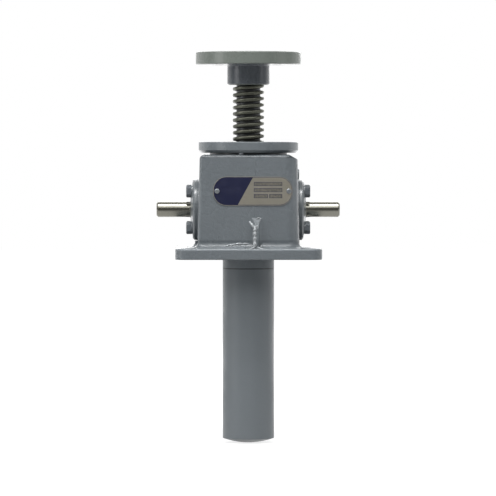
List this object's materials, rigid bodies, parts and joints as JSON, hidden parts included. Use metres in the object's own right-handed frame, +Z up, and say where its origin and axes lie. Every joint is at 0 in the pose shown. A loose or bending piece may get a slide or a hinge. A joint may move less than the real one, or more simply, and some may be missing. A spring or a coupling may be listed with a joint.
{
  "type": "worm screw jack",
  "caption": "Machine screw jack: a worm shaft turns a worm gear nut that lifts a threaded screw with a round load plate, on a flanged base with a protective tube.",
  "frame": {"origin": "on the screw axis, in the plane of the base flange's underside, at the centre of the bolt holes", "axes": "+Z up along the lifting screw, X along the worm shaft, front of the casing towards -Y"},
  "size_m": [0.1876, 0.1433, 0.3966],
  "materials": {
    "grey_enamel": "semi-gloss machine grey enamel over cast iron and steel",
    "plate_enamel": "semi-gloss grey enamel, slightly greener",
    "screw_steel": "dark, greased steel",
    "shaft_steel": "bright turned steel",
    "bearing_steel": "ground steel",
    "bronze": "machined bronze",
    "seal_rubber": "moulded nitrile rubber",
    "nameplate_metal": "brushed, with a painted dark blue panel"
  },
  "bodies": {
    "housing": {"housing": "grey_enamel", "shell_cap": "grey_enamel", "left_bearing_cover": "grey_enamel", "right_bearing_cover": "grey_enamel", "left_cover_bolts": "grey_enamel", "right_cover_bolts": "grey_enamel", "left_cover_washers": "grey_enamel", "right_cover_washers": "grey_enamel", "grease_plug": "grey_enamel", "tube_adapter": "grey_enamel", "protective_tube": "grey_enamel", "tube_end_cap": "grey_enamel", "cap_set_screws": "screw_steel", "lower_gear_bearing_cup": "bearing_steel", "upper_gear_bearing_cup": "bearing_steel", "left_worm_bearing_cup": "bearing_steel", "right_worm_bearing_cup": "bearing_steel", "left_cover_shim": "bearing_steel", "right_cover_shim": "bearing_steel", "upper_guide_bushing": "bronze", "lower_guide_bushing": "bronze", "screw_wiper": "seal_rubber", "left_shaft_seal": "seal_rubber", "right_shaft_seal": "seal_rubber", "nameplate": "nameplate_metal", "nameplate_rivets": "nameplate_metal"},
    "worm_shaft": {"worm_shaft": "shaft_steel", "left_worm_bearing_cone": "bearing_steel", "right_worm_bearing_cone": "bearing_steel"},
    "worm_gear": {"worm_gear": "bronze", "lower_gear_bearing_cone": "bearing_steel", "upper_gear_bearing_cone": "bearing_steel"},
    "lifting_screw": {"lifting_screw": "screw_steel", "top_plate": "plate_enamel", "plate_set_screw": "screw_steel", "stop_disc": "screw_steel", "stop_pin": "screw_steel"}
  },
  "joints": [
    {"name": "worm_spin", "type": "hinge", "parent": "housing", "child": "worm_shaft", "pos_m": [0, 0.044, 0.0493], "axis": [-1, 0, 0], "range_deg": [-71307, 137841.8]},
    {"name": "gear_spin", "type": "hinge", "parent": "housing", "child": "worm_gear", "pos_m": [0, 0, 0.0493], "axis": [0, 0, -1], "range_deg": [-2971.7, 5744]},
    {"name": "screw_lift", "type": "slide", "parent": "housing", "child": "lifting_screw", "axis": [0, 0, 1], "range_m": [-0.0524, 0.1013]}
  ],
  "couplings": [
    {"joint": "gear_spin", "follows": "screw_lift", "rad_per_m": 989.48},
    {"joint": "worm_spin", "follows": "screw_lift", "rad_per_m": 23747}
  ]
}
